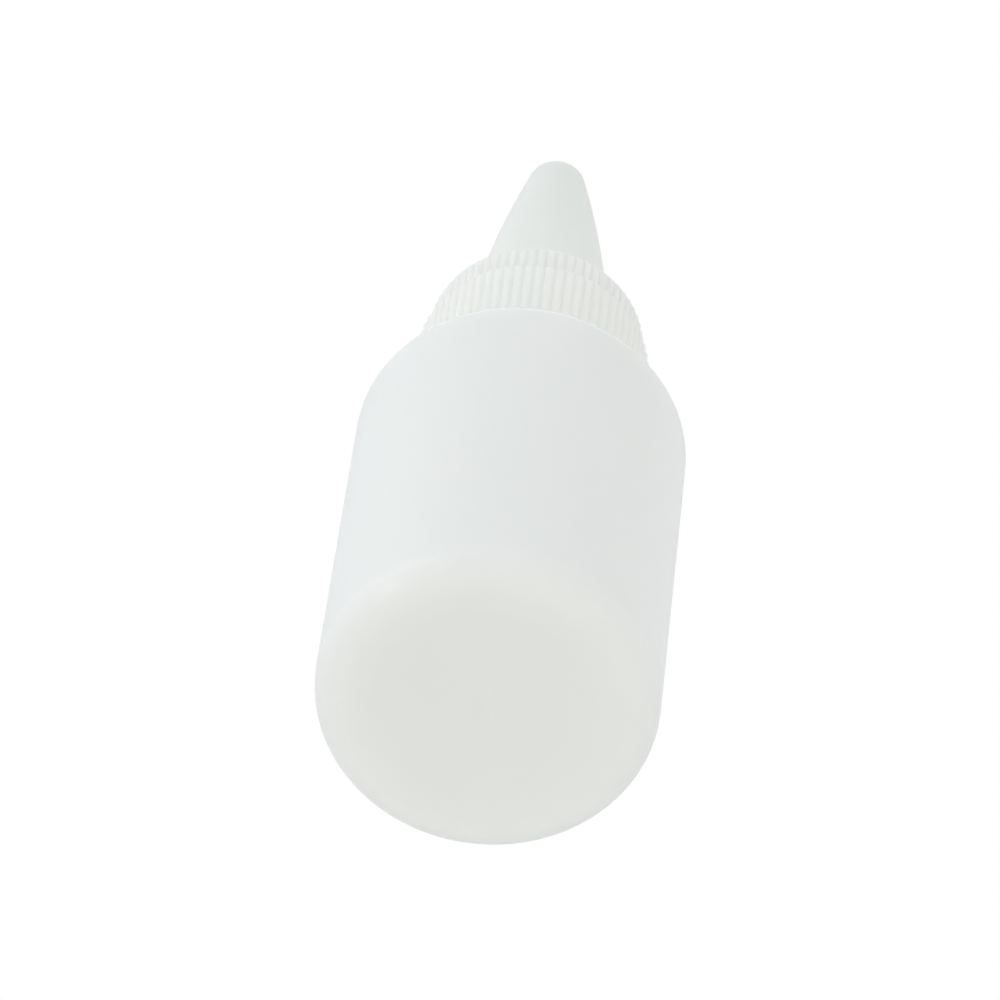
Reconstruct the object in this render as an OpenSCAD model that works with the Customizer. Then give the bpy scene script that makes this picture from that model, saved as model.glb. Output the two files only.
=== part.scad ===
// Squeezable dropper bottle with a nozzle insert, a screw-on conical overcap and a tamper band.
// Millimetres, +Z up, origin at the centre of the base on the surface that the bottle stands on.

/* [Bottle body] */
// Outer diameter of the straight wall
body_d = 33; // [27:0.5:45]
// Height at which the straight wall and the shoulder cone would meet if the corner were sharp
shoulder_z = 49.1; // [35:0.1:90]
// Wall thickness of the blow-moulded body
body_wall = 1.0; // [0.7:0.1:1.6]
// Thickness of the bottom
bottom_wall = 1.2; // [0.8:0.1:2]
// Outer radius of the heel, where the wall turns into the bottom
heel_r = 3.5; // [2:0.1:5]
// Outer radius of the corner between the wall and the shoulder
shoulder_r = 1.6; // [1:0.1:3]
// Slope of the shoulder above the horizontal, in degrees
shoulder_slope = 20; // [10:1:30]
// Width of the flat ring that the bottle stands on
foot_w = 1.2; // [1:0.1:3]
// Height of the pushed-up bottom at its centre
push_up_h = 1.6; // [0.6:0.1:3]
// Width over which the foot ring bends up into the pushed-up bottom
push_up_bend = 1.5; // [0.5:0.1:3]

/* [Neck] */
// Outer diameter of the neck under its thread
neck_d = 17.4; // [14.5:0.1:22]
// Wall thickness of the neck
neck_wall = 1.5; // [1.2:0.1:2]
// How far the retaining bead stands out of the neck
bead_h = 1.25; // [0.8:0.05:1.5]
// Height of the retaining bead, measured along the neck
bead_w = 1.2; // [0.8:0.1:1.6]

/* [Thread] */
// Rise of the thread in one turn
thread_lead = 3.0; // [2.5:0.1:4]
// Number of turns of thread, on the neck and in the cap alike
thread_turns = 1.4; // [1:0.1:1.5]
// How far each thread ridge stands out
thread_depth = 0.95; // [0.6:0.05:1.15]
// Width of each thread ridge at its root
thread_root_w = 1.5; // [1:0.1:1.6]
// Width of each thread ridge at its crest
thread_crest_w = 0.6; // [0.4:0.1:0.9]
// Plain length of the cap's bore below its thread
thread_entry = 0.66; // [0.3:0.01:1.5]
// Plain length of the neck above its thread
thread_top = 2.2; // [1.5:0.1:3.5]

/* [Overcap] */
// Wall thickness of the skirt under its ribs
skirt_wall = 1.7; // [1.2:0.1:3]
// Height of the skirt
skirt_h = 9.5; // [8:0.1:14]
// How far the collar steps in from the skirt
collar_step = 0.8; // [0.5:0.1:1.4]
// Height of the collar, with the groove below it
collar_h = 4.8; // [4:0.1:6]
// Height of the groove between the skirt and the collar
groove_h = 0.5; // [0.3:0.1:1]
// Depth of the groove under the collar's ribs
groove_depth = 0.15; // [0.05:0.05:0.3]
// Number of grip ribs round the cap and the band
rib_count = 70; // [40:1:84]
// How far the grip ribs stand out
rib_h = 0.2; // [0.15:0.05:0.4]
// Height of the flare, from the collar's rim to the spire
flare_h = 6.4; // [5:0.1:9]
// Height of the spire above the flare
spire_h = 27.6; // [22:0.1:36]
// Diameter of the spire where the flare meets it
spire_d = 13.9; // [11.5:0.1:16]
// How much the spire's side bulges outside a straight line
spire_bulge = 0.36; // [0:0.02:1]
// Wall thickness of the flare and the spire
spire_wall = 1.1; // [0.8:0.1:1.4]
// Height of the round tip
tip_h = 1.1; // [0.6:0.1:2]
// Length of the sealing pin inside the tip
pin_l = 1.6; // [1:0.1:2.4]

/* [Dropper insert] */
// Length of the plug that goes down into the neck
plug_l = 7.5; // [5:0.1:9]
// Wall thickness of the plug
plug_wall = 1.0; // [0.7:0.1:1.5]
// How far the plug's two sealing beads squeeze into the bore
plug_squeeze = 0.05; // [0.02:0.01:0.1]
// Thickness of the flange that rests on the neck's land
flange_t = 1.1; // [0.8:0.1:1.5]
// How far the flange's edge stays inside the neck's
flange_inset = 0.4; // [0.2:0.1:0.8]
// Outer diameter of the nozzle at its foot
nozzle_d = 9.0; // [7:0.1:10.8]
// Height of the rounded foot of the nozzle
nozzle_foot_h = 1.6; // [1:0.1:3]
// Outer diameter of the nozzle at its tip
nozzle_tip_d = 3.2; // [2.6:0.1:3.9]
// Wall thickness of the nozzle at its foot
nozzle_wall = 1.2; // [0.8:0.1:1.6]
// Diameter of the drop orifice
orifice_d = 1.0; // [0.8:0.1:1.2]
// Length of the straight drop orifice
orifice_l = 3.0; // [2.4:0.1:5]

/* [Tamper band] */
// Height of the band
band_h = 4.3; // [3.8:0.1:5]
// Number of thin bridges between the band and the cap
bridge_count = 8; // [4:1:12]
// Width of each bridge
bridge_w = 0.8; // [0.4:0.1:1.2]
// Height of the retaining lip inside the band
lip_w = 1.4; // [0.8:0.1:1.6]

/* [Clearances] */
// Radial gap between the cap or the band and what turns inside it
turn_gap = 0.25; // [0.15:0.05:0.4]
// Axial gap between the bearing flanks of the two threads
thread_gap = 0.15; // [0.1:0.05:0.3]
// Axial gap between the retaining lip and the bead, and between the lip and the shoulder
lip_gap = 0.3; // [0.2:0.05:0.5]
// Gap across the break line between the band and the cap
break_gap = 0.5; // [0.3:0.1:0.8]
// Gap between the end of a bridge and the cap that it breaks from
bridge_gap = 0.05; // [0.03:0.01:0.1]
// Radial gap between the plug's plain wall and the bore
plug_gap = 0.1; // [0.05:0.01:0.2]
// Radial gap between the sealing pin and the orifice
pin_gap = 0.08; // [0.05:0.01:0.1]
// Axial gap between the nozzle's tip and the cap's sealing seat
seat_gap = 0.1; // [0.05:0.05:0.3]
// Radial gap between the nozzle's tip and the inside of the spire
nozzle_gap = 0.3; // [0.2:0.05:0.6]
// Gap between the band and the shoulder below it
band_gap = 0.8; // [0.5:0.1:1.5]

/* [Hidden] */
$fn = 96;
natural = [0.91, 0.92, 0.91];
overlap = 0.3;          // how deep a ridge is rooted in its wall
edge = 0.3;             // bevel on a moulded edge
small_edge = 0.1;       // bevel on a fine moulded edge
rib_run = 0.2;          // how far the ribs stop short of an edge
rib_fill = 0.62;        // radius of a rib's round crest as a share of half the ribs' pitch
foot_fillet_w = 2.2;    // reach of the rounded foot of the nozzle over the flange
nozzle_straight = 2.0;  // length of the nearly straight end of the nozzle
nozzle_round = 0.5;     // radius of the nozzle's tip edge
arc_steps = 8;          // straight pieces in one rounded corner of an outline
spire_steps = 14;       // straight pieces in the spire's side
helix_steps = 30;       // pieces in one turn of a thread
run_in = 5;             // pieces over which each end of a thread tapers away

body_r = body_d / 2;
neck_r = neck_d / 2;
bore_r = neck_r - neck_wall;
foot_out_r = body_r - heel_r;
foot_in_r = foot_out_r - foot_w;
neck_z = shoulder_z + (body_r - neck_r) * tan(shoulder_slope);

// Radii of what turns on the neck, from the neck outwards
bead_r = neck_r + bead_h;
thread_r = neck_r + thread_depth;
band_bore_r = bead_r + turn_gap;
cap_bore_r = thread_r + turn_gap;
skirt_r = cap_bore_r + skirt_wall;
collar_r = skirt_r - collar_step;
collar_bore_r = collar_r - spire_wall;

// Heights of the band and the cap, from the shoulder up
band_z = shoulder_z + (body_r - skirt_r - rib_h) * tan(shoulder_slope) + band_gap;
band_top_z = band_z + band_h;
lip_z = neck_z + lip_gap;
lip_r = neck_r + 2 * turn_gap;
bead_z = lip_z + lip_w + lip_gap;
skirt_z = band_top_z + break_gap;
collar_z = skirt_z + skirt_h;
rim_z = collar_z + collar_h;
flare_z = rim_z + flare_h;
tip_z = flare_z + spire_h;
seat_z = tip_z - tip_h - spire_wall;

// Widths of the two ridges where one's crest meets the other's flank, which sets their offset
thread_mid_w = thread_crest_w + (thread_root_w - thread_crest_w) * turn_gap / thread_depth;
thread_offset = (thread_root_w + thread_mid_w) / 2 + thread_gap;
cap_thread_z = skirt_z + thread_entry + thread_root_w / 2;
neck_thread_z = cap_thread_z + thread_offset;
land_z = neck_thread_z + thread_lead * thread_turns + thread_top;

plug_r = bore_r - plug_gap;
plug_z = land_z - plug_l;
flange_r = neck_r - flange_inset;
flange_top_z = land_z + flange_t;
nozzle_r = nozzle_d / 2;
nozzle_tip_r = nozzle_tip_d / 2;
nozzle_foot_z = flange_top_z + nozzle_foot_h;
nozzle_tip_z = seat_z - seat_gap;
orifice_r = orifice_d / 2;
pin_r = orifice_r - pin_gap;
spire_r = spire_d / 2;
spire_tip_r = nozzle_tip_r + nozzle_gap + spire_wall;

// Points along an arc about [r, z], from one angle to another
function arc(r, z, radius, from, to, steps = arc_steps) =
    [for (i = [0 : steps]) let (a = from + (to - from) * i / steps)
        [r + radius * cos(a), z + radius * sin(a)]];

// Points along a cubic curve with two handles
function curve(a, b, c, d, steps = arc_steps) =
    [for (i = [0 : steps]) let (t = i / steps, s = 1 - t)
        s * s * s * a + 3 * s * s * t * b + 3 * s * t * t * c + t * t * t * d];

function reversed(list) = [for (i = [len(list) - 1 : -1 : 0]) list[i]];

// How far below the outer corner the corner of a parallel inner wall lies
function inset_z(depth) = depth * (1 - sin(shoulder_slope)) / cos(shoulder_slope);

// Wall, shoulder corner and shoulder cone of the body at a given depth inside its outer face
function body_side(depth) =
    let (corner_r = max(edge, shoulder_r - depth))
    arc(body_r - depth - corner_r, shoulder_z - inset_z(depth) - inset_z(corner_r), corner_r,
        0, 90 - shoulder_slope);

// Height of the shoulder cone at radius r, at a given depth inside its outer face
function shoulder_at(r, depth) = shoulder_z - inset_z(depth) + (body_r - depth - r) * tan(shoulder_slope);

// Underside of the bottle from its centre to the foot ring, lifted by a wall thickness
function push_up(lift) =
    curve([0, push_up_h + lift], [foot_in_r * 0.4, push_up_h + lift],
          [foot_in_r - push_up_bend, lift], [foot_in_r, lift]);

// Side of the flare and the spire, from the collar's rim up, at a given depth inside the outer face
function spire_side(depth, top_z) =
    let (
        start_r = collar_r - small_edge,
        waist = (start_r - spire_r) * 0.3,
        flare = curve([start_r, rim_z], [spire_r + waist, rim_z + flare_h * 0.2],
                      [spire_r + waist, rim_z + flare_h * 0.4], [spire_r, flare_z]),
        side = [for (i = [1 : spire_steps]) let (s = i / spire_steps)
            [spire_r * (1 - s) + spire_tip_r * s + 4 * spire_bulge * s * (1 - s),
             flare_z + (spire_h - tip_h) * s]]
    )
    [for (p = concat(flare, side)) if (p[1] < top_z) [p[0] - depth, p[1]]];

// A helical ridge. It starts at the ring r, z and reaches out by depth, or in by a negative depth
module thread_ridge(r, z, depth) {
    dir = sign(depth);
    count = round(helix_steps * thread_turns);
    crest = thread_crest_w / 2;
    flank = thread_root_w / 2 - crest;
    root = crest + flank * (abs(depth) + overlap) / abs(depth);
    section = [for (i = [0 : count])
        let (
            a = 360 * i / helix_steps,
            full = min(1, (i + 0.5) / run_in, (count - i + 0.5) / run_in),
            mid = z + thread_lead * i / helix_steps,
            inner = r - dir * overlap,
            outer = r + depth * full
        )
        [for (p = [[inner, -root], [outer, -crest], [outer, crest], [inner, root]])
            [p[0] * cos(a), p[0] * sin(a), mid + p[1]]]];
    corners = 4;
    points = [for (s = section) each s];
    sides = [for (i = [0 : count - 1], k = [0 : corners - 1])
        let (
            a = i * corners + k,
            b = i * corners + (k + 1) % corners,
            c = b + corners,
            d = a + corners
        )
        each [[a, b, c], [a, c, d]]];
    first = [for (k = [corners - 1 : -1 : 0]) k];
    last = [for (k = [0 : corners - 1]) count * corners + k];
    all_faces = concat(sides, [first, last]);
    polyhedron(points, dir < 0 ? [for (f = all_faces) reversed(f)] : all_faces);
}

// A ring of upright grip ribs over a core of the given radius
module ribs(core_r, z, h) {
    rib_r = PI * core_r / rib_count * rib_fill;
    translate([0, 0, z])
        linear_extrude(h)
            difference() {
                union() {
                    circle(core_r);
                    for (i = [0 : rib_count - 1])
                        rotate(360 * i / rib_count)
                            translate([core_r + rib_h - rib_r, 0])
                                circle(rib_r, $fn = 16);
                }
                circle(core_r - overlap);
            }
}

// Blow-moulded shell with its heel, pushed-up bottom, shoulder, neck, bead and thread
module bottle() {
    inner_heel_r = heel_r - body_wall;
    outside = concat(
        push_up(0),
        arc(foot_out_r, heel_r, heel_r, -90, 0),
        body_side(0),
        [[neck_r, neck_z],
         [neck_r, bead_z],
         [bead_r, bead_z + small_edge],
         [bead_r, bead_z + bead_w / 2],
         [neck_r, bead_z + bead_w],
         [neck_r, land_z - edge],
         [neck_r - edge, land_z]]
    );
    inside = concat(
        push_up(bottom_wall),
        arc(foot_out_r, bottom_wall + inner_heel_r, inner_heel_r, -90, 0),
        body_side(body_wall),
        [[bore_r, shoulder_at(bore_r, body_wall)],
         [bore_r, land_z - edge],
         [bore_r + edge, land_z]]
    );
    color(natural) {
        rotate_extrude() polygon(concat(outside, reversed(inside)));
        thread_ridge(neck_r, neck_thread_z, thread_depth);
    }
}

// Press-in plug with its flange and drop nozzle
module dropper_insert() {
    seal_r = bore_r + plug_squeeze;
    inner_r = plug_r - plug_wall;
    throat_r = nozzle_r - nozzle_wall;
    taper = 0.15;                          // how much wider the nozzle is at the foot of its straight end
    outside = concat(
        [[inner_r, plug_z + edge],
         [plug_r - plug_wall / 2, plug_z],
         [plug_r, plug_z + plug_wall]],
        [for (z = [plug_z + plug_l * 0.3, plug_z + plug_l * 0.65])
            each [[plug_r, z], [seal_r, z + edge], [seal_r, z + 2 * edge], [plug_r, z + 3 * edge]]],
        [[plug_r, land_z],
         [flange_r, land_z],
         [flange_r, flange_top_z - small_edge],
         [flange_r - small_edge, flange_top_z]],
        curve([nozzle_r + foot_fillet_w, flange_top_z],
              [nozzle_r + foot_fillet_w / 4, flange_top_z + small_edge],
              [nozzle_r + small_edge, flange_top_z + nozzle_foot_h * 0.4],
              [nozzle_r, nozzle_foot_z]),
        [[nozzle_tip_r + taper, nozzle_tip_z - nozzle_straight]],
        arc(nozzle_tip_r - nozzle_round, nozzle_tip_z - nozzle_round, nozzle_round, 0, 90)
    );
    inside = [
        [inner_r, land_z - plug_wall],
        [throat_r + nozzle_wall / 2, flange_top_z - nozzle_wall / 2],
        [throat_r, nozzle_foot_z],
        [orifice_r + taper, nozzle_tip_z - orifice_l - 2 * edge],
        [orifice_r, nozzle_tip_z - orifice_l],
        [orifice_r, nozzle_tip_z]
    ];
    color(natural) rotate_extrude() polygon(concat(outside, reversed(inside)));
}

// Overcap: ribbed skirt with an inner thread, collar, flare, spire and sealing pin
module cap() {
    roof_z = land_z + edge;                // where the skirt's bore narrows to the collar's
    pin_z = nozzle_tip_z - pin_l;
    outside = concat(
        [[cap_bore_r, skirt_z],
         [skirt_r, skirt_z],
         [skirt_r, collar_z],
         [collar_r - groove_depth, collar_z],
         [collar_r - groove_depth, collar_z + groove_h],
         [collar_r, collar_z + groove_h],
         [collar_r, rim_z - edge]],
        spire_side(0, tip_z - tip_h),
        [for (i = [0 : arc_steps]) let (a = 90 * i / arc_steps)
            [spire_tip_r * cos(a), tip_z - tip_h + tip_h * sin(a)]]
    );
    inside = concat(
        [[cap_bore_r, roof_z],
         [collar_bore_r, roof_z + cap_bore_r - collar_bore_r],
         [collar_bore_r, rim_z - spire_wall]],
        spire_side(spire_wall, seat_z),
        [[spire_tip_r - spire_wall, seat_z],
         [pin_r, seat_z],
         [pin_r, pin_z],
         [0, pin_z - pin_r / 2]]
    );
    color(natural) {
        rotate_extrude() polygon(concat(outside, reversed(inside)));
        ribs(skirt_r, skirt_z, skirt_h - rib_run);
        ribs(collar_r, collar_z + groove_h, collar_h - groove_h - 2 * rib_run);
        thread_ridge(cap_bore_r, cap_thread_z, -thread_depth);
    }
}

// Tamper-evident band that the bead keeps on the neck, with the stubs that tie it to the cap
module tamper_band() {
    outline = [
        [band_bore_r, band_z],
        [skirt_r - edge, band_z],
        [skirt_r, band_z + edge],
        [skirt_r, band_top_z],
        [band_bore_r, band_top_z],
        [band_bore_r, lip_z + lip_w],
        [lip_r, lip_z + lip_w],
        [lip_r, lip_z + lip_w / 2],
        [band_bore_r, lip_z]
    ];
    bridge_r = max(band_bore_r, cap_bore_r) + rib_run;
    color(natural) {
        rotate_extrude() polygon(outline);
        ribs(skirt_r, band_z + edge, band_h - edge);
        for (i = [0 : bridge_count - 1])
            rotate(360 * i / bridge_count)
                translate([bridge_r, -bridge_w / 2, band_top_z - overlap])
                    cube([bridge_w, bridge_w, overlap + break_gap - bridge_gap]);
    }
}

bottle();
dropper_insert();
cap();
tamper_band();
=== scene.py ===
import math

import bpy
import numpy as np
from mathutils import Matrix, Vector


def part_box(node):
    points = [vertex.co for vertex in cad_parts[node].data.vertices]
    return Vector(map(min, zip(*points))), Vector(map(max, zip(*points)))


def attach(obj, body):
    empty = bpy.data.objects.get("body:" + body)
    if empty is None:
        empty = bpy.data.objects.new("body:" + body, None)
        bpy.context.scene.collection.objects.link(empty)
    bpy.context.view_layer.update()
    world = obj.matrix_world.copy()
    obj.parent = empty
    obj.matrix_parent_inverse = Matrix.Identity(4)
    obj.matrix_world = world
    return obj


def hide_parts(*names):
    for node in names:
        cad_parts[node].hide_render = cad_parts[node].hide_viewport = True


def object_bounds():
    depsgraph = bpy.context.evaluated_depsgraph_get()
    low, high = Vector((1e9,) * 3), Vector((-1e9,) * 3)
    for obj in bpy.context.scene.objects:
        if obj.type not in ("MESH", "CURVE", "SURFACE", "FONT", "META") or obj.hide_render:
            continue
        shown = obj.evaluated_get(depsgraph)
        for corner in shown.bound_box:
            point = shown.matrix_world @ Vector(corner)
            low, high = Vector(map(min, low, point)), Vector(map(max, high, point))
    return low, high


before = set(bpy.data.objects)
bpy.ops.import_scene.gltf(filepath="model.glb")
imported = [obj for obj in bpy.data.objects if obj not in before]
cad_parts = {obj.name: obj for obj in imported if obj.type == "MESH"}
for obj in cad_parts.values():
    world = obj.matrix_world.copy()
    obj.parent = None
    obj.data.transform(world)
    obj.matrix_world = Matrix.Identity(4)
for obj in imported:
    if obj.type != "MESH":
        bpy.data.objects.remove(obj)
cad_low, cad_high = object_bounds()

# ---------------------------------------------------------------- sizes, in metres

MM = 0.001
TAU = 2 * math.pi

_, bottle_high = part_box("bottle")
insert_low, insert_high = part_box("dropper_insert")
cap_low, cap_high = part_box("cap")
band_low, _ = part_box("tamper_band")

# Bottle
body_r = bottle_high.x
land_z = bottle_high.z
body_wall = 1.0 * MM
bottom_wall = 1.2 * MM
heel_r = 3.5 * MM
foot_w = 1.2 * MM
push_up_h = 1.6 * MM
push_up_bend = 1.5 * MM
shoulder_r = 1.6 * MM
shoulder_slope = math.radians(20)
neck_r = 8.7 * MM
bore_r = 7.2 * MM
neck_h = 13.6 * MM
neck_z = land_z - neck_h
shoulder_z = neck_z - (body_r - neck_r) * math.tan(shoulder_slope)
bead_h = 1.25 * MM
bead_r = neck_r + bead_h
bead_w = 1.2 * MM

# Thread
thread_lead = 3.0 * MM
thread_turns = 1.4
thread_depth = 0.95 * MM
thread_root_w = 1.5 * MM
thread_crest_w = 0.6 * MM
thread_top = 2.2 * MM                   # from the land down to the end of the ridge
thread_taper = 0.16                     # share of a turn over which each end fades out
turn_gap = 0.25 * MM
thread_gap = 0.15 * MM
neck_thread_z = land_z - thread_top - thread_lead * thread_turns
thread_mid_w = thread_crest_w + (thread_root_w - thread_crest_w) * turn_gap / thread_depth
cap_thread_z = neck_thread_z - (thread_root_w + thread_mid_w) / 2 - thread_gap

# Band and cap
rib_count = 70
rib_h = 0.2 * MM
rib_segments = 8                        # mesh columns across one rib
skirt_r = cap_high.x - rib_h
skirt_z = cap_low.z
skirt_h = 9.5 * MM
collar_step = 0.8 * MM
collar_r = skirt_r - collar_step
collar_h = 4.8 * MM
groove_h = 0.5 * MM
groove_depth = 0.15 * MM
collar_z = skirt_z + skirt_h
rim_z = collar_z + collar_h
tip_z = cap_high.z
tip_h = 1.1 * MM
flare_h = 6.4 * MM
flare_z = rim_z + flare_h
spire_r = 6.95 * MM
spire_tip_r = 3.0 * MM
spire_bulge = 0.36 * MM
spire_wall = 1.1 * MM
cap_bore_r = neck_r + thread_depth + turn_gap
collar_bore_r = collar_r - spire_wall
band_bore_r = bead_r + turn_gap
lip_r = neck_r + 2 * turn_gap
lip_w = 1.4 * MM
lip_gap = 0.3 * MM
lip_z = neck_z + lip_gap
bead_z = lip_z + lip_w + lip_gap
break_gap = 0.5 * MM
band_z = band_low.z
band_top_z = skirt_z - break_gap
bridge_count = 8

# Insert
plug_gap = 0.1 * MM
plug_r = bore_r - plug_gap
plug_wall = 1.0 * MM
plug_z = insert_low.z
plug_l = land_z - plug_z
seal_places = (0.3, 0.65)               # how far up the plug, as shares of its length
seal_h = 0.1 * MM
seal_step = 0.3 * MM                    # a seal rises, runs level and falls over one step each
flange_r = insert_high.x
flange_t = 1.1 * MM
flange_top_z = land_z + flange_t
nozzle_r = 4.5 * MM
nozzle_tip_r = 1.6 * MM
nozzle_tip_z = insert_high.z
nozzle_wall = 1.2 * MM
nozzle_foot_h = 1.6 * MM
nozzle_foot_w = 2.2 * MM
nozzle_foot_z = flange_top_z + nozzle_foot_h
orifice_r = 0.5 * MM
orifice_l = 3.0 * MM
pin_gap = 0.08 * MM
pin_r = orifice_r - pin_gap
pin_l = 1.6 * MM
seat_gap = 0.1 * MM

# Mould marks
parting_angle = math.radians(-103)      # the mould halves of the bottle meet here and opposite
parting_h = 0.05 * MM
parting_w = 0.22 * MM
waviness = 0.05 * MM                    # how unevenly the blown wall sets
weld_h = 0.045 * MM                     # pinch mark in the middle of the pushed-up bottom
weld_w = 0.6 * MM
weld_half = 5.5 * MM
weld_end = 1.5 * MM


# ---------------------------------------------------------------- outlines

def bezier(a, b, c, d, steps):
    """Points of a cubic curve, both ends included."""
    points = []
    for i in range(steps + 1):
        t = i / steps
        s = 1 - t
        weights = (s * s * s, 3 * s * s * t, 3 * s * t * t, t * t * t)
        points.append(tuple(sum(w * p[k] for w, p in zip(weights, (a, b, c, d))) for k in range(2)))
    return points


def arc(r, z, radius, start, end, steps=10):
    """Points of a circular arc about (r, z), angles in degrees."""
    angles = [math.radians(start + (end - start) * i / steps) for i in range(steps + 1)]
    return [(r + radius * math.cos(a), z + radius * math.sin(a)) for a in angles]


def rounded(corners, fillet, steps=4):
    """Points (r, z) with each inner corner turned into a small round of the given size."""
    most = 0.45                          # share of a side that one round may take
    points = [corners[0]]
    for before, corner, after in zip(corners, corners[1:], corners[2:]):
        p, q, s = Vector(before), Vector(corner), Vector(after)
        reach = min(fillet, (p - q).length * most, (s - q).length * most)
        a = q + (p - q).normalized() * reach
        b = q + (s - q).normalized() * reach
        for i in range(steps + 1):
            t = i / steps
            points.append(tuple(a * (1 - t) ** 2 + q * 2 * t * (1 - t) + b * t * t))
    points.append(corners[-1])
    return points


same_place = 1e-7                       # points closer than this are one point


def rings(parts):
    """Joins (kind, ring spacing, points) stretches into arrays of r, z and kind, evenly cut."""
    r, z, kind = [], [], []
    for name, step, points in parts:
        for a, b in zip(points, points[1:]):
            length = math.dist(a, b)
            pieces = max(1, math.ceil(length / step))
            for i in range(pieces):
                t = i / pieces
                r.append(a[0] + (b[0] - a[0]) * t)
                z.append(a[1] + (b[1] - a[1]) * t)
                kind.append(name)
        r.append(points[-1][0])
        z.append(points[-1][1])
        kind.append(name)
    keep = [0] + [i for i in range(1, len(r))
                  if math.dist((r[i], z[i]), (r[i - 1], z[i - 1])) > same_place]
    return np.array(r)[keep], np.array(z)[keep], np.array(kind)[keep]


# ---------------------------------------------------------------- meshes

def add_piece(name, verts, faces):
    mesh = bpy.data.meshes.new(name)
    mesh.from_pydata(verts, [], faces)
    mesh.shade_smooth()
    piece = bpy.data.objects.new(name, mesh)
    bpy.context.collection.objects.link(piece)
    return piece


def lathe(name, parts, segments, shape, loop=False):
    """Turns an outline about Z. shape moves the points, so ribs, threads and marks are real."""
    r, z, kind = rings(parts)
    if loop and math.dist((r[0], z[0]), (r[-1], z[-1])) < same_place:
        r, z, kind = r[:-1], z[:-1], kind[:-1]
    theta = np.arange(segments) * TAU / segments
    grid_r = np.repeat(r[:, None], segments, axis=1)
    grid_z = np.repeat(z[:, None], segments, axis=1)
    grid_r, grid_z = shape(grid_r, grid_z, np.broadcast_to(theta, grid_r.shape), kind[:, None])
    x, y = grid_r * np.cos(theta), grid_r * np.sin(theta)
    count = len(r)
    body = slice(0, count) if loop else slice(1, count - 1)
    verts = np.stack([x[body], y[body], grid_z[body]], axis=-1).reshape(-1, 3).tolist()
    rows = count if loop else count - 2
    faces = []
    for i in range(rows if loop else rows - 1):
        low, high = i * segments, (i + 1) % rows * segments
        for j in range(segments):
            k = (j + 1) % segments
            faces.append((low + j, low + k, high + k, high + j))
    if not loop:
        first, last = len(verts), len(verts) + 1
        verts.append((0.0, 0.0, float(grid_z[0, 0])))
        verts.append((0.0, 0.0, float(grid_z[-1, 0])))
        top = (rows - 1) * segments
        for j in range(segments):
            k = (j + 1) % segments
            faces.append((first, k, j))
            faces.append((last, top + j, top + k))
    return add_piece(name, verts, faces)


def smooth(x):
    """Eases from 0 to 1, and stays there on both sides."""
    x = np.clip(x, 0, 1)
    return x * x * (3 - 2 * x)


def ridge(theta, z, start_z):
    """Height of the thread ridge, 0 to 1, at each angle and height."""
    height = np.zeros_like(z)
    for turn in range(math.ceil(thread_turns) + 1):
        along = theta / TAU + turn
        away = np.abs(z - start_z - thread_lead * along)
        flank = (thread_root_w / 2 - away) / (thread_root_w / 2 - thread_crest_w / 2)
        ends = smooth(along / thread_taper) * smooth((thread_turns - along) / thread_taper)
        inside = (along <= thread_turns) * ends
        height = np.maximum(height, np.clip(flank, 0, 1) * inside)
    return smooth(height)


def ribbing(theta, z, low, high, fade):
    """Height of the grip ribs, 0 to 1, fading out at their ends."""
    round_top = np.abs(np.cos(theta * rib_count / 2))
    ends = smooth((z - low) / fade) * smooth((high - z) / fade)
    return round_top * ends


def waves(theta, z, seed):
    """Slow unevenness of a blown wall, 0 to 1, that closes on itself round the bottle."""
    most_tilt = 120                      # radians of phase per metre of height
    rng = np.random.default_rng(seed)
    total = np.zeros_like(z)
    for lobes in (2, 3, 4, 5, 7):
        for _ in range(2):
            tilt = rng.uniform(-most_tilt, most_tilt)
            phase = rng.uniform(0, TAU)
            total += np.sin(lobes * theta + tilt * z + phase) / lobes
    return np.clip(0.5 + total / 4, 0, 1)


def seam(theta, r):
    """Height of the mould's parting line, 0 to 1, on both sides of the bottle."""
    away = np.abs(np.sin(theta - parting_angle)) * r
    return smooth(1 - away / parting_w)


# ---------------------------------------------------------------- pieces

def body_side(depth):
    """Corner between wall and shoulder, a given depth inside the outer face."""
    least_r = 0.3 * MM                   # smallest round that the corner may have
    slope_gain = (1 - math.sin(shoulder_slope)) / math.cos(shoulder_slope)
    corner = max(least_r, shoulder_r - depth)
    centre_z = shoulder_z - depth * slope_gain - corner * slope_gain
    return arc(body_r - depth - corner, centre_z, corner, 0, 90 - math.degrees(shoulder_slope))


def push_up(lift):
    """Pushed-up bottom from its centre to the foot ring, lifted by a wall thickness."""
    foot_in = body_r - heel_r - foot_w
    flat = foot_in * 0.4                 # pulls the middle of the curve level
    return bezier((0, push_up_h + lift), (flat, push_up_h + lift),
                  (foot_in - push_up_bend, lift), (foot_in, lift), steps=28)


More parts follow.
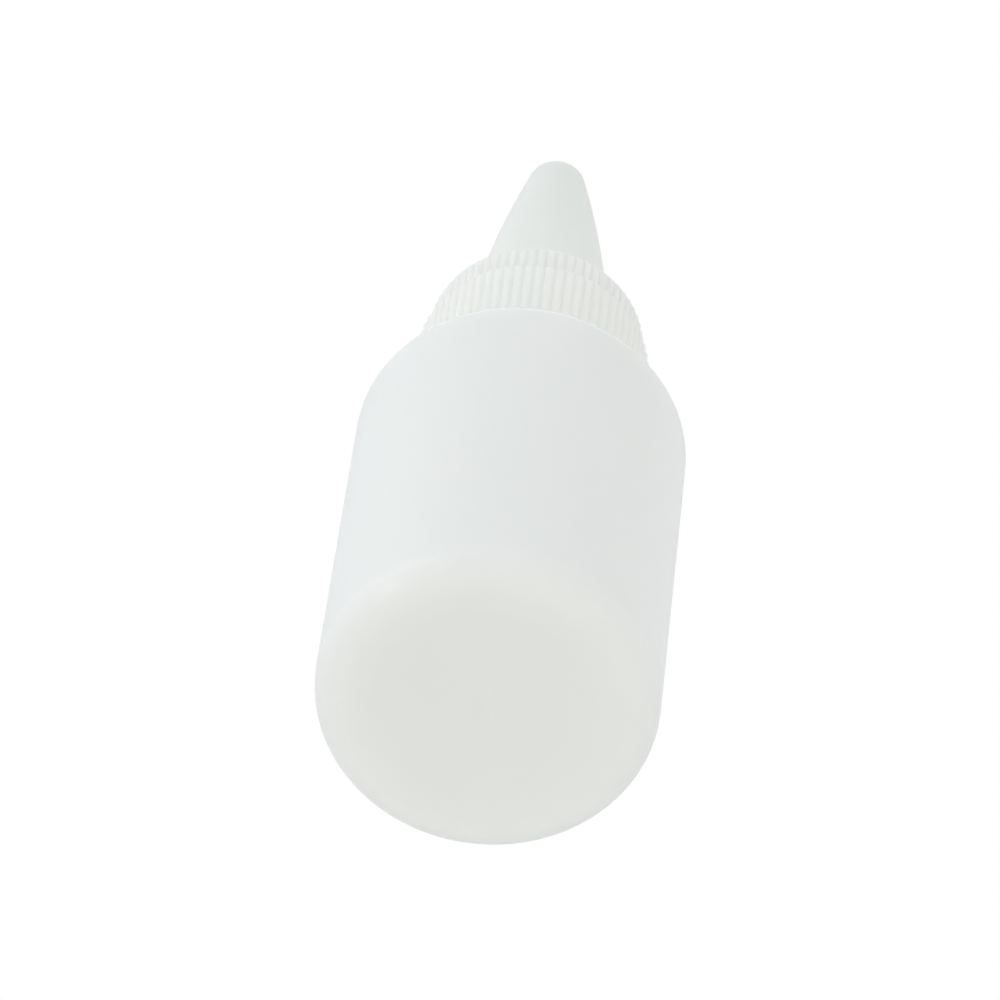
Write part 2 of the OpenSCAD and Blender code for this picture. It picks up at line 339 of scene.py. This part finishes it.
def make_bottle():
    neck_foot = 1.5 * MM                 # how far out the round at the foot of the neck starts
    bead_slope = 0.1 * MM                # height over which the bead's underside leans
    plain_below, plain_above = 1.0 * MM, 1.2 * MM      # plain neck on both sides of the thread
    bevel = 0.3 * MM
    bore_bevel = 0.4 * MM
    mouth_depth = 2.0 * MM
    throat_round = 1.0 * MM
    throat_drop = body_wall * 0.3        # how far the foot of the bore is under the shoulder's slope
    heel_fade, neck_fade, shoulder_fade = 0.2 * MM, 4.0 * MM, 5.0 * MM

    inner_heel = heel_r - body_wall
    neck = rounded([
        (neck_r + neck_foot, neck_z - neck_foot * math.tan(shoulder_slope)),
        (neck_r, neck_z), (neck_r, bead_z), (bead_r, bead_z + bead_slope),
        (bead_r, bead_z + bead_w / 2), (neck_r, bead_z + bead_w), (neck_r, neck_thread_z - plain_below)],
        fillet=0.25 * MM)
    mouth = rounded([
        (neck_r, land_z - plain_above), (neck_r, land_z - bevel), (neck_r - bevel, land_z),
        (bore_r + bevel, land_z), (bore_r, land_z - bore_bevel), (bore_r, land_z - mouth_depth)],
        fillet=0.2 * MM)
    inner_cone_z = shoulder_z + (body_r - body_wall - bore_r) * math.tan(shoulder_slope) - throat_drop
    throat = rounded([(bore_r, inner_cone_z + 2 * throat_round), (bore_r, inner_cone_z),
                      body_side(body_wall)[-1]], fillet=throat_round)
    inner_heel_arc = arc(body_r - body_wall - inner_heel, bottom_wall + inner_heel, inner_heel, 0, -90)
    parts = [                            # kind of surface, ring spacing, outline
        ("base", 0.45 * MM, push_up(0)),
        ("foot", 0.45 * MM, [(body_r - heel_r - foot_w, 0), (body_r - heel_r, 0)]),
        ("heel", 0.5 * MM, arc(body_r - heel_r, heel_r, heel_r, -90, 0, steps=16)),
        ("wall", 0.8 * MM, body_side(0) + neck[:1]),
        ("neck", 0.3 * MM, neck),
        ("thread", 0.1 * MM, [neck[-1], mouth[0]]),
        ("neck", 0.3 * MM, mouth),
        ("inside", 1.0 * MM, [mouth[-1], throat[0]]),
        ("inside", 0.6 * MM, throat + body_side(body_wall)[::-1]),
        ("inside", 1.2 * MM, inner_heel_arc),
        ("inside", 0.8 * MM, push_up(bottom_wall)[::-1]),
    ]

    def shape(r, z, theta, kind):
        outer = (kind == "wall") | (kind == "heel")
        fade = smooth((z - heel_fade) / heel_r) * smooth((neck_z - z) / neck_fade)
        sunk = parting_h + waviness * waves(theta, z, seed=7)
        r = r - outer * fade * (sunk - parting_h * seam(theta, r))
        inner_fade = smooth((z - bottom_wall) / heel_r) * smooth((shoulder_z - z) / shoulder_fade)
        r = r - (kind == "inside") * inner_fade * 2 * waviness * waves(theta, z, seed=11)
        r = r + (kind == "thread") * thread_depth * ridge(theta, z, neck_thread_z)
        along = np.abs(r * np.cos(theta - parting_angle))
        away = np.abs(r * np.sin(theta - parting_angle))
        weld = smooth(1 - away / weld_w) * smooth((weld_half - along) / weld_end)
        z = z - (kind == "base") * weld_h * weld
        return r, z

    return lathe("bottle_shell", parts, segments=288, shape=shape)


def make_insert():
    tip_round = 0.5 * MM
    foot_pull, foot_edge = 0.6 * MM, 0.1 * MM          # how the nozzle's foot curves out of the flange
    entry, entry_slope = 0.5 * MM, 0.8 * MM            # bevel that leads the plug into the neck
    inner_edge = 0.4 * MM
    end_l, end_taper = 2.0 * MM, 0.15 * MM             # straighter last stretch of the nozzle
    orifice_edge, orifice_bevel = 0.15 * MM, 0.2 * MM
    funnel_w, funnel_h = 0.25 * MM, 0.6 * MM           # under the orifice
    throat_step = 0.6 * MM
    plug_roof = 1.5 * MM

    throat_r = nozzle_r - nozzle_wall
    inner_r = plug_r - plug_wall
    seals = []
    for share in seal_places:
        z = plug_z + plug_l * share
        seals += [(plug_r, z), (plug_r + seal_h, z + seal_step), (plug_r + seal_h, z + 2 * seal_step),
                  (plug_r, z + 3 * seal_step)]
    lower = rounded([(inner_r, plug_z + inner_edge), (plug_r - entry, plug_z), (plug_r, plug_z + entry_slope)]
                    + seals + [(plug_r, land_z), (flange_r, land_z), (flange_r, flange_top_z),
                               (nozzle_r + nozzle_foot_w, flange_top_z)], fillet=0.2 * MM)
    foot = bezier((nozzle_r + nozzle_foot_w, flange_top_z), (nozzle_r + foot_pull, flange_top_z + foot_edge),
                  (nozzle_r + foot_edge, flange_top_z + foot_pull), (nozzle_r, nozzle_foot_z), steps=8)
    tip = arc(nozzle_tip_r - tip_round, nozzle_tip_z - tip_round, tip_round, 0, 90, steps=6)
    side = [foot[-1], (nozzle_tip_r + end_taper, nozzle_tip_z - end_l), tip[0]]
    orifice_z = nozzle_tip_z - orifice_l
    bore = [(orifice_r + orifice_edge, nozzle_tip_z), (orifice_r, nozzle_tip_z - orifice_bevel),
            (orifice_r, orifice_z), (orifice_r + funnel_w, orifice_z - funnel_h),
            (throat_r, nozzle_foot_z), (throat_r + throat_step, flange_top_z - throat_step),
            (inner_r, land_z - plug_roof), (inner_r, plug_z + inner_edge)]
    parts = [                            # kind of surface, ring spacing, outline
        ("plain", 0.6 * MM, lower),
        ("plain", 0.6 * MM, foot),
        ("plain", 0.8 * MM, rounded(side, fillet=0.6 * MM)),
        ("plain", 0.3 * MM, tip + bore[:1]),
        ("plain", 0.8 * MM, rounded(bore, fillet=0.3 * MM)),
    ]

    def shape(r, z, theta, kind):
        return r, z

    return lathe("nozzle_insert", parts, segments=144, shape=shape, loop=True)


def spire_side(depth, low, high):
    """Side of the flare and spire between two heights, a given depth inside its outer face."""
    rim_step = 0.1 * MM
    steps = 40
    waist, low_pull, high_pull = 0.3, 0.2, 0.4         # where the flare's curve is drawn in, as shares
    start_r = collar_r - rim_step
    waist_r = spire_r + (start_r - spire_r) * waist
    flare = bezier((start_r, rim_z), (waist_r, rim_z + flare_h * low_pull),
                   (waist_r, rim_z + flare_h * high_pull), (spire_r, flare_z), steps=16)
    side = []
    for i in range(1, steps + 1):
        s = i / steps
        bulge = 4 * spire_bulge * s * (1 - s)
        r = spire_r * (1 - s) + spire_tip_r * s + bulge
        side.append((r, flare_z + (tip_z - tip_h - flare_z) * s))
    return [(r - depth, z) for r, z in flare + side if low <= z <= high]


def make_cap():
    roof_gap = 0.4 * MM
    roof_edge = 0.8 * MM
    pin_point, pin_bevel, pin_taper = 0.2 * MM, 0.3 * MM, 0.7
    hollow_low, hollow_high = 0.3 * MM, 0.6 * MM       # from the inner face of the spire to rim and seat
    entry_w, entry_h = 0.2 * MM, 0.6 * MM              # bevel that leads the neck in
    skirt_edge_w, skirt_edge_h = 0.1 * MM, 0.3 * MM
    skirt_run = 0.45 * MM                              # of the skirt's side, rounded with its top edge
    groove_slope, groove_run = 0.1 * MM, 0.4 * MM
    rim_low, rim_edge, rim_run = 0.7 * MM, 0.05 * MM, 0.2 * MM
    tip_steps = 14
    skirt_rib_low, skirt_rib_top, skirt_rib_fade = 0.1 * MM, 0.12 * MM, 0.35 * MM
    collar_rib_top, collar_rib_fade = 0.15 * MM, 0.3 * MM
    skirt_face, collar_face = 0.25 * MM, 0.3 * MM      # ribs stand only on rings this near the side

    seat_z = tip_z - tip_h - spire_wall
    roof_z = land_z + roof_gap
    pin_z = seat_z - seat_gap - pin_l
    groove_r = collar_r - groove_depth
    groove_z = collar_z + groove_h
    hollow = spire_side(spire_wall, rim_z + hollow_low, seat_z - hollow_high)[::-1]
    pin = rounded([(0, pin_z - pin_point), (pin_r * pin_taper, pin_z - pin_point / 2),
                   (pin_r, pin_z + pin_bevel),
                   (pin_r, seat_z), (spire_tip_r - spire_wall, seat_z), hollow[0], hollow[1]],
                  fillet=0.25 * MM)
    roof = rounded([hollow[-1], (collar_bore_r, rim_z - spire_wall),
                    (collar_bore_r, roof_z + cap_bore_r - collar_bore_r),
                    (cap_bore_r, roof_z), (cap_bore_r, roof_z - roof_edge)], fillet=0.3 * MM)
    foot = rounded([(cap_bore_r, skirt_z + entry_h), (cap_bore_r + entry_w, skirt_z),
                    (skirt_r - skirt_edge_w, skirt_z), (skirt_r, skirt_z + skirt_edge_h)],
                   fillet=0.15 * MM)
    step = rounded([(skirt_r, collar_z - skirt_run), (skirt_r, collar_z), (groove_r, collar_z),
                    (groove_r, groove_z), (collar_r, groove_z + groove_slope),
                    (collar_r, groove_z + groove_run)], fillet=0.2 * MM)
    rim = rounded([(collar_r, rim_z - rim_low), (collar_r, rim_z - rim_edge)]
                  + spire_side(0, rim_z, rim_z + rim_run)[:1]
                  + spire_side(0, rim_z + rim_run, rim_z + 5 * rim_run)[:2], fillet=0.3 * MM)
    side = spire_side(0, rim_z + rim_run, tip_z - tip_h)[1:]
    tip = [(spire_tip_r * math.cos(a), tip_z - tip_h + tip_h * math.sin(a))
           for a in (math.radians(90 * i / tip_steps) for i in range(tip_steps + 1))]
    skirt_points = 8                     # of the step; its other points belong to the collar
    parts = [                            # kind of surface, ring spacing, outline
        ("inside", 0.4 * MM, pin),
        ("inside", 0.8 * MM, hollow[1:]),
        ("inside", 0.6 * MM, roof),
        ("thread", 0.1 * MM, [roof[-1], foot[0]]),
        ("foot", 0.3 * MM, foot),
        ("skirt", 0.35 * MM, [foot[-1], step[0]]),
        ("skirt", 0.2 * MM, step[:skirt_points]),
        ("collar", 0.2 * MM, step[skirt_points:]),
        ("collar", 0.35 * MM, [step[-1], rim[0]]),
        ("collar", 0.2 * MM, rim),
        ("spire", 0.7 * MM, side),
        ("spire", 0.4 * MM, tip),
    ]

    def shape(r, z, theta, kind):
        on_skirt = (kind == "skirt") * (r > skirt_r - skirt_face)
        on_collar = (kind == "collar") * (r > collar_r - collar_face)
        skirt_ribs = ribbing(theta, z, skirt_z + skirt_rib_low, collar_z - skirt_rib_top, skirt_rib_fade)
        collar_ribs = ribbing(theta, z, groove_z, rim_z - collar_rib_top, collar_rib_fade)
        r = r + rib_h * (on_skirt * skirt_ribs + on_collar * collar_ribs)
        r = r - (kind == "thread") * thread_depth * ridge(theta, z, cap_thread_z)
        return r, z

    return lathe("cap_shell", parts, segments=rib_count * rib_segments, shape=shape)


def make_band():
    foot_edge = 0.3 * MM
    top_run = 0.4 * MM                   # of the band's side, rounded with its top edge
    rib_top, rib_fade = 0.1 * MM, 0.35 * MM
    round_end = 6                        # points of the upper outline up to the end of its outer round

    outline = rounded([
        (band_bore_r, lip_z + lip_w), (lip_r, lip_z + lip_w), (lip_r, lip_z + lip_w / 2),
        (band_bore_r, lip_z), (band_bore_r, band_z), (skirt_r - foot_edge, band_z),
        (skirt_r, band_z + foot_edge)], fillet=0.12 * MM)
    upper = rounded([
        (skirt_r, band_top_z - top_run), (skirt_r, band_top_z), (band_bore_r, band_top_z),
        (band_bore_r, lip_z + lip_w)], fillet=0.15 * MM)
    parts = [                            # kind of surface, ring spacing, outline
        ("plain", 0.4 * MM, outline),
        ("ribs", 0.3 * MM, [outline[-1], upper[0]]),
        ("ribs", 0.2 * MM, upper[:round_end]),
        ("plain", 0.4 * MM, upper[round_end - 1:]),
    ]

    def shape(r, z, theta, kind):
        height = ribbing(theta, z, band_z + foot_edge, band_top_z - rib_top, rib_fade)
        return r + (kind == "ribs") * rib_h * height, z

    return lathe("band_shell", parts, segments=rib_count * rib_segments, shape=shape, loop=True)


def make_bridges():
    """Thin stubs on the band's top edge, waisted where they break from the cap."""
    # Height over the band's top in mm, and width as a share of the widest
    levels = [(-0.15, 1.0), (0.05, 0.85), (0.2, 0.62), (0.36, 0.5), (0.44, 0.46)]
    sides = 12
    roundness = 0.6                      # 1 is an ellipse, less is squarer
    inset = 0.6 * MM
    middle_r = band_bore_r + inset
    half_depth, half_width = 0.38 * MM, 0.4 * MM

    def squarish(wave):
        return math.copysign(abs(wave) ** roundness, wave)

    verts, faces = [], []
    for n in range(bridge_count):
        turn = TAU * n / bridge_count
        start = len(verts)
        for height, size in levels:
            for i in range(sides):
                a = TAU * i / sides
                u = middle_r + half_depth * size * squarish(math.cos(a))
                v = half_width * size * squarish(math.sin(a))
                x = u * math.cos(turn) - v * math.sin(turn)
                y = u * math.sin(turn) + v * math.cos(turn)
                verts.append((x, y, band_top_z + height * MM))
        for k in range(len(levels) - 1):
            for i in range(sides):
                a, b = start + k * sides + i, start + k * sides + (i + 1) % sides
                faces.append((a, b, b + sides, a + sides))
        top = start + (len(levels) - 1) * sides
        faces.append(tuple(range(top, top + sides)))
        faces.append(tuple(range(start + sides - 1, start - 1, -1)))
    return add_piece("band_bridges", verts, faces)


# ---------------------------------------------------------------- materials

def milky_plastic(name, tint, cloud_tint, clearness, depth, roughness, streak, gloss, spire_shade_tint=None):
    """Uncoloured plastic: light soaks in, clouds and flow streaks show faintly, and the skin is grained.

    streak stretches the clouds upwards, the more the smaller it is. Given the tint for painted shade, the
    colour is painted darker and greyer from the rim of the collar to the tip of the spire, for the dimmer
    look that the thin spire wall has in this light.
    """
    material = bpy.data.materials.new(name)
    material.use_nodes = True
    nodes, links = material.node_tree.nodes, material.node_tree.links
    shader = nodes["Principled BSDF"]
    shader.inputs["Subsurface Weight"].default_value = 0.75
    shader.inputs["Subsurface Radius"].default_value = (1.0, 0.96, 0.9)
    shader.inputs["Subsurface Scale"].default_value = depth
    shader.inputs["Transmission Weight"].default_value = clearness
    shader.inputs["IOR"].default_value = 1.5
    shader.inputs["Coat Weight"].default_value = gloss
    shader.inputs["Coat Roughness"].default_value = 0.16

    place = nodes.new("ShaderNodeTexCoord")
    stretch = nodes.new("ShaderNodeMapping")
    stretch.inputs["Scale"].default_value = (1.0, 1.0, streak)
    links.new(place.outputs["Object"], stretch.inputs["Vector"])

    clouds = nodes.new("ShaderNodeTexNoise")
    clouds.inputs["Scale"].default_value = 90.0
    clouds.inputs["Detail"].default_value = 4.0
    clouds.inputs["Roughness"].default_value = 0.55
    links.new(stretch.outputs["Vector"], clouds.inputs["Vector"])

    colour = nodes.new("ShaderNodeValToRGB")
    colour.color_ramp.elements[0].position = 0.32
    colour.color_ramp.elements[0].color = (*cloud_tint, 1)
    colour.color_ramp.elements[1].position = 0.68
    colour.color_ramp.elements[1].color = (*tint, 1)
    links.new(clouds.outputs["Fac"], colour.inputs["Fac"])
    # Painted shade: the colour is multiplied darker with height, from 1 mm under the collar's rim up to the
    # tip of the spire.
    if spire_shade_tint:
        shade_from = rim_z - 1.0 * MM
        height = nodes.new("ShaderNodeSeparateXYZ")
        links.new(place.outputs["Object"], height.inputs["Vector"])
        shade_share = nodes.new("ShaderNodeMapRange")
        shade_share.inputs["From Min"].default_value = shade_from
        shade_share.inputs["From Max"].default_value = tip_z
        links.new(height.outputs["Z"], shade_share.inputs["Value"])
        tone = nodes.new("ShaderNodeMix")
        tone.data_type = "RGBA"
        tone.blend_type = "MULTIPLY"
        tone.inputs["B"].default_value = (*spire_shade_tint, 1)
        links.new(shade_share.outputs["Result"], tone.inputs["Factor"])
        links.new(colour.outputs["Color"], tone.inputs["A"])
        links.new(tone.outputs["Result"], shader.inputs["Base Color"])
    else:
        links.new(colour.outputs["Color"], shader.inputs["Base Color"])

    skin = nodes.new("ShaderNodeTexNoise")
    skin.inputs["Scale"].default_value = 420.0
    skin.inputs["Detail"].default_value = 3.0
    links.new(place.outputs["Object"], skin.inputs["Vector"])
    smoother, rougher = 0.04, 0.08
    shine = nodes.new("ShaderNodeMapRange")
    shine.inputs["To Min"].default_value = roughness - smoother
    shine.inputs["To Max"].default_value = roughness + rougher
    links.new(skin.outputs["Fac"], shine.inputs["Value"])
    links.new(shine.outputs["Result"], shader.inputs["Roughness"])

    pores = nodes.new("ShaderNodeTexNoise")
    pores.inputs["Scale"].default_value = 2600.0
    pores.inputs["Detail"].default_value = 2.0
    links.new(place.outputs["Object"], pores.inputs["Vector"])
    fine = nodes.new("ShaderNodeBump")
    fine.inputs["Strength"].default_value = 0.15
    fine.inputs["Distance"].default_value = 0.02 * MM
    links.new(pores.outputs["Fac"], fine.inputs["Height"])
    broad = nodes.new("ShaderNodeBump")
    broad.inputs["Strength"].default_value = 0.25
    broad.inputs["Distance"].default_value = 0.05 * MM
    links.new(clouds.outputs["Fac"], broad.inputs["Height"])
    links.new(fine.outputs["Normal"], broad.inputs["Normal"])
    links.new(broad.outputs["Normal"], shader.inputs["Normal"])
    return material


def floor_material():
    """Pale studio floor that is seen only from above, so the view from under it stays clear."""
    material = bpy.data.materials.new("studio_floor")
    material.use_nodes = True
    nodes, links = material.node_tree.nodes, material.node_tree.links
    shader = nodes["Principled BSDF"]
    shader.inputs["Base Color"].default_value = (0.72, 0.74, 0.75, 1)
    shader.inputs["Roughness"].default_value = 0.7
    side = nodes.new("ShaderNodeNewGeometry")
    clear = nodes.new("ShaderNodeBsdfTransparent")
    mix = nodes.new("ShaderNodeMixShader")
    links.new(side.outputs["Backfacing"], mix.inputs["Fac"])
    links.new(shader.outputs["BSDF"], mix.inputs[1])
    links.new(clear.outputs["BSDF"], mix.inputs[2])
    links.new(mix.outputs["Shader"], nodes["Material Output"].inputs["Surface"])
    return material


def dress(piece, material, body, slot, *nodes):
    """Gives a piece its material and body, and hides the CAD nodes that it stands for; slot is not used."""
    piece.data.materials.append(material)
    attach(piece, body)
    if nodes:
        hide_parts(*nodes)


# ---------------------------------------------------------------- stage

room_light = 1.052
room_left = (1.01, 1.035, 1.04)
room_right = (0.88, 0.90, 0.875)
room_below = (0.99, 0.98, 0.93)
room_back = (0.72, 0.74, 0.75)


def make_floor():
    half = 2.0
    under = 0.02 * MM                    # keeps the floor from touching the foot ring
    mesh = bpy.data.meshes.new("floor")
    corners = [(-half, -half, 0), (half, -half, 0), (half, half, 0), (-half, half, 0)]
    mesh.from_pydata(corners, [], [(0, 1, 2, 3)])
    floor = bpy.data.objects.new("floor", mesh)
    bpy.context.collection.objects.link(floor)
    floor.location.z = cad_low.z - under
    floor.data.materials.append(floor_material())
    floor.visible_diffuse = False
    floor.visible_glossy = False
    floor.visible_transmission = False
    floor.visible_shadow = False


def softbox(name, place, size, power):
    """Rectangular light, size wide and high, that faces the middle of the bottle."""
    light = bpy.data.lights.new(name, "AREA")
    light.shape = "RECTANGLE"
    light.size, light.size_y = size
    light.energy = power
    lamp = bpy.data.objects.new(name, light)
    lamp.location = place
    middle = Vector((0, 0, cad_high.z / 2))
    lamp.rotation_euler = (middle - Vector(place)).to_track_quat("-Z", "Y").to_euler()
    bpy.context.collection.objects.link(lamp)


def make_world():
    """White to the camera; to the object a soft white room, cooler on the left and warmer below."""
    world = bpy.data.worlds.new("studio")
    bpy.context.scene.world = world
    world.use_nodes = True
    nodes, links = world.node_tree.nodes, world.node_tree.links
    seen = nodes["Background"]
    seen.inputs["Color"].default_value = (1, 1, 1, 1)
    seen.inputs["Strength"].default_value = 1.0

    direction = nodes.new("ShaderNodeTexCoord")
    split = nodes.new("ShaderNodeSeparateXYZ")
    links.new(direction.outputs["Generated"], split.inputs["Vector"])

    def blend(axis, start, end, first, second):
        share = nodes.new("ShaderNodeMapRange")
        share.interpolation_type = "SMOOTHSTEP"
        share.inputs["From Min"].default_value = start
        share.inputs["From Max"].default_value = end
        links.new(split.outputs[axis], share.inputs["Value"])
        mix = nodes.new("ShaderNodeMix")
        mix.data_type = "RGBA"
        links.new(share.outputs["Result"], mix.inputs["Factor"])
        for socket, source in ((mix.inputs["A"], first), (mix.inputs["B"], second)):
            if isinstance(source, tuple):
                socket.default_value = (*source, 1)
            else:
                links.new(source, socket)
        return mix.outputs["Result"]

    room = blend("X", start=-0.9, end=0.9, first=room_left, second=room_right)
    room = blend("Y", start=-0.1, end=0.9, first=room, second=room_back)
    room = blend("Z", start=0.1, end=-0.9, first=room, second=room_below)
    lit = nodes.new("ShaderNodeBackground")
    lit.inputs["Strength"].default_value = room_light
    links.new(room, lit.inputs["Color"])
    path = nodes.new("ShaderNodeLightPath")
    mix = nodes.new("ShaderNodeMixShader")
    links.new(path.outputs["Is Camera Ray"], mix.inputs["Fac"])
    links.new(lit.outputs["Background"], mix.inputs[1])
    links.new(seen.outputs["Background"], mix.inputs[2])
    links.new(mix.outputs["Shader"], nodes["World Output"].inputs["Surface"])


def make_camera():
    """Long lens that looks up at the bottle from in front of it and far below its base."""
    tilt = math.radians(58.98)           # how far the line of sight rises above the horizon
    roll = math.radians(7.9)
    lens = 288
    base_seen = Vector((-0.084, 1.209, 45.59)) * body_r    # base centre: right, down and ahead
    up_axis = Vector((math.sin(roll) * math.cos(tilt), -math.cos(roll) * math.cos(tilt), math.sin(tilt)))
    x_axis = Vector((math.cos(roll), math.sin(roll), 0))
    y_axis = up_axis.cross(x_axis)
    to_view = Matrix((x_axis, y_axis, up_axis)).transposed()
    right, down, ahead = to_view
    camera = bpy.data.objects.new("camera", bpy.data.cameras.new("camera"))
    camera.data.lens = lens
    camera.data.sensor_width = 36
    camera.data.clip_end = 20
    turned = Matrix((right, -down, -ahead)).transposed().to_4x4()
    camera.matrix_world = Matrix.Translation(-(to_view.transposed() @ base_seen)) @ turned
    bpy.context.collection.objects.link(camera)
    bpy.context.scene.camera = camera


make_camera()
make_world()
make_floor()
softbox("key", place=(-0.88, -0.40, -0.30), size=(0.16, 0.6), power=0.5)
softbox("edge", place=(-0.76, -0.56, 0.34), size=(0.60, 0.05), power=0.45)
softbox("rim", place=(0.78, -0.45, -0.38), size=(0.06, 0.5), power=0.15)
bpy.context.scene.view_settings.view_transform = "Standard"

bottle_plastic = milky_plastic(
    "bottle_plastic", tint=(0.90, 0.92, 0.91), cloud_tint=(0.875, 0.90, 0.89),
    clearness=0.12, depth=3.0 * MM, roughness=0.34, streak=0.35, gloss=0.5)
# The cap's last tint is painted shade, which darkens the spire towards its tip.
cap_plastic = milky_plastic(
    "cap_plastic", tint=(0.92, 0.935, 0.91), cloud_tint=(0.89, 0.91, 0.885),
    clearness=0.22, depth=1.6 * MM, roughness=0.34, streak=0.2, gloss=0.3, spire_shade_tint=(0.84, 0.85, 0.86))
insert_plastic = milky_plastic(
    "insert_plastic", tint=(0.86, 0.88, 0.87), cloud_tint=(0.83, 0.855, 0.845),
    clearness=0.12, depth=2.0 * MM, roughness=0.38, streak=0.3, gloss=0.3)

dress(make_bottle(), bottle_plastic, "bottle", "bottle_plastic", "bottle")
dress(make_insert(), insert_plastic, "bottle", "insert_plastic", "dropper_insert")
dress(make_cap(), cap_plastic, "cap", "cap_plastic", "cap")
dress(make_band(), cap_plastic, "tamper_band", "cap_plastic", "tamper_band")
dress(make_bridges(), cap_plastic, "tamper_band", "cap_plastic")
